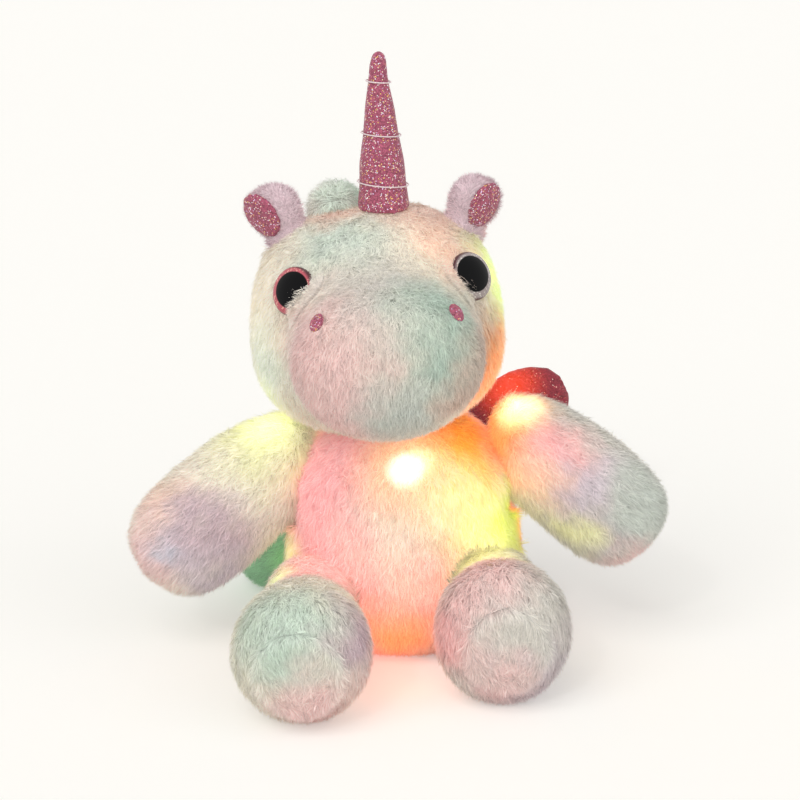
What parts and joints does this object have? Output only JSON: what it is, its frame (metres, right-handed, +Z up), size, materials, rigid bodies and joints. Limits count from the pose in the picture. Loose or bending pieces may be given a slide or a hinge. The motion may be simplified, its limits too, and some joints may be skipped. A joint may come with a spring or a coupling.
{
  "type": "plush night light",
  "caption": "Sitting plush unicorn night light: long-pile stuffed body, glitter horn, wings and ears, and a battery lamp module behind a back zip.",
  "frame": {"origin": "centre of the body's flat underside, on the table", "axes": "+Z up; the toy's chest faces -Y, so its left arm points to +X"},
  "size_m": [0.266, 0.2495, 0.3005],
  "materials": {
    "pink_plush": "long-pile plush, soft pink",
    "mint_plush": "long-pile plush, tie-dyed mint, peach and grey",
    "lilac_plush": "long-pile plush, lilac to mint",
    "pastel_plush": "long-pile plush, tie-dyed pastels",
    "green_plush": "long-pile plush, mint green",
    "rose_glitter_cloth": "rose cloth with iridescent glitter",
    "crimson_glitter_cloth": "crimson satin with fine glitter",
    "silver_thread": "twisted silver-pink thread",
    "clear_acrylic": "clear polished acrylic",
    "white_moulded_plastic": "fine moulded texture",
    "white_lining_cloth": "plain woven lining",
    "polyester_fibre": "loose white fibre",
    "plated_steel": "bright plated",
    "cell_sleeve": "plain shrink sleeve",
    "board_laminate": "green solder mask",
    "black_plastic": "moulded",
    "lamp_epoxy": "clear cast epoxy",
    "lead_insulation": "smooth insulation",
    "zip_tape_cloth": "woven tape",
    "zip_moulded_plastic": "moulded teeth and tab"
  },
  "bodies": {
    "body": {"body_skin": "pink_plush", "body_filling": "polyester_fibre", "left_zip_tape": "zip_tape_cloth", "right_zip_tape": "zip_tape_cloth", "left_zip_teeth": "zip_moulded_plastic", "right_zip_teeth": "zip_moulded_plastic", "zip_bottom_stop": "zip_moulded_plastic", "battery_pouch": "white_lining_cloth", "battery_case": "white_moulded_plastic", "battery_lid": "white_moulded_plastic", "lid_screw": "plated_steel", "cell_1": "cell_sleeve", "cell_2": "cell_sleeve", "cell_3": "cell_sleeve", "contact_start": "plated_steel", "contact_link_high": "plated_steel", "contact_link_low": "plated_steel", "contact_end": "plated_steel", "circuit_board": "board_laminate", "switch_housing": "black_plastic", "lamp_chest": "lamp_epoxy", "lamp_front_low": "lamp_epoxy", "lamp_left_shoulder": "lamp_epoxy", "lamp_right_shoulder": "lamp_epoxy", "lamp_left_flank": "lamp_epoxy", "lamp_right_flank": "lamp_epoxy", "lamp_leads": "lead_insulation"},
    "head": {"head_skin": "mint_plush", "head_filling": "polyester_fibre", "muzzle": "lilac_plush", "left_nostril": "rose_glitter_cloth", "right_nostril": "rose_glitter_cloth", "left_eye": "clear_acrylic", "right_eye": "clear_acrylic", "left_eye_glitter_disc": "rose_glitter_cloth", "right_eye_glitter_disc": "rose_glitter_cloth", "left_eye_washer": "white_moulded_plastic", "right_eye_washer": "white_moulded_plastic", "horn": "rose_glitter_cloth", "horn_thread": "silver_thread", "mane": "green_plush", "lamp_head": "lamp_epoxy", "lamp_head_lead": "lead_insulation"},
    "left_ear_flap": {"left_ear": "pastel_plush", "left_ear_lining": "rose_glitter_cloth"},
    "right_ear_flap": {"right_ear": "pastel_plush", "right_ear_lining": "rose_glitter_cloth"},
    "left_arm_limb": {"left_arm": "pastel_plush"},
    "right_arm_limb": {"right_arm": "pastel_plush"},
    "left_leg_limb": {"left_leg": "pastel_plush", "left_sole": "lilac_plush"},
    "right_leg_limb": {"right_leg": "pastel_plush", "right_sole": "lilac_plush"},
    "left_wing_flap_body": {"left_wing": "crimson_glitter_cloth"},
    "right_wing_flap_body": {"right_wing": "crimson_glitter_cloth"},
    "tail_limb": {"tail": "green_plush"},
    "slider": {"zip_slider": "plated_steel"},
    "pull": {"zip_pull": "zip_moulded_plastic"},
    "button": {"switch_button": "black_plastic"}
  },
  "joints": [
    {"name": "head_turn", "type": "hinge", "parent": "body", "child": "head", "pos_m": [0, 0, 0.125], "axis": [0, 0, 1], "range_deg": [-25, 25]},
    {"name": "left_ear_fold", "type": "hinge", "parent": "head", "child": "left_ear_flap", "pos_m": [0.02998, 0.00072, 0.20997], "axis": [0.6059, 0.7429, -0.2846], "range_deg": [-15, 15]},
    {"name": "right_ear_fold", "type": "hinge", "parent": "head", "child": "right_ear_flap", "pos_m": [-0.05817, -0.00483, 0.20751], "axis": [0.656, -0.6635, 0.3597], "range_deg": [-15, 15]},
    {"name": "left_arm_swing", "type": "hinge", "parent": "body", "child": "left_arm_limb", "pos_m": [0.0518, 0, 0.105], "axis": [-1, 0, 0], "range_deg": [-30, 50]},
    {"name": "right_arm_swing", "type": "hinge", "parent": "body", "child": "right_arm_limb", "pos_m": [-0.0518, 0, 0.097], "axis": [-1, 0, 0], "range_deg": [-30, 50]},
    {"name": "left_leg_swing", "type": "hinge", "parent": "body", "child": "left_leg_limb", "pos_m": [0.045, -0.028, 0.0325], "axis": [-1, 0, 0], "range_deg": [0, 20]},
    {"name": "right_leg_swing", "type": "hinge", "parent": "body", "child": "right_leg_limb", "pos_m": [-0.045, -0.042, 0.0325], "axis": [-1, 0, 0], "range_deg": [0, 20]},
    {"name": "left_wing_flap", "type": "hinge", "parent": "body", "child": "left_wing_flap_body", "pos_m": [0.0185, 0.0475, 0.093], "axis": [0, 0, 1], "range_deg": [-15, 15]},
    {"name": "right_wing_flap", "type": "hinge", "parent": "body", "child": "right_wing_flap_body", "pos_m": [-0.0185, 0.0475, 0.093], "axis": [0, 0, 1], "range_deg": [-15, 15]},
    {"name": "tail_swing", "type": "hinge", "parent": "body", "child": "tail_limb", "pos_m": [0, 0.051, 0.0195], "axis": [0, 0, -1], "range_deg": [0, 60]},
    {"name": "zip_slider_slide", "type": "slide", "parent": "body", "child": "slider", "axis": [0, 0, -1], "range_m": [0, 0.04]},
    {"name": "zip_pull_lift", "type": "hinge", "parent": "slider", "child": "pull", "pos_m": [0, 0.05175, 0.08928], "axis": [1, 0, 0], "range_deg": [0, 90]},
    {"name": "switch_button_press", "type": "slide", "parent": "body", "child": "button", "axis": [0, -1, 0], "range_m": [0, 0.0012], "stiffness_N_per_m": 800}
  ]
}
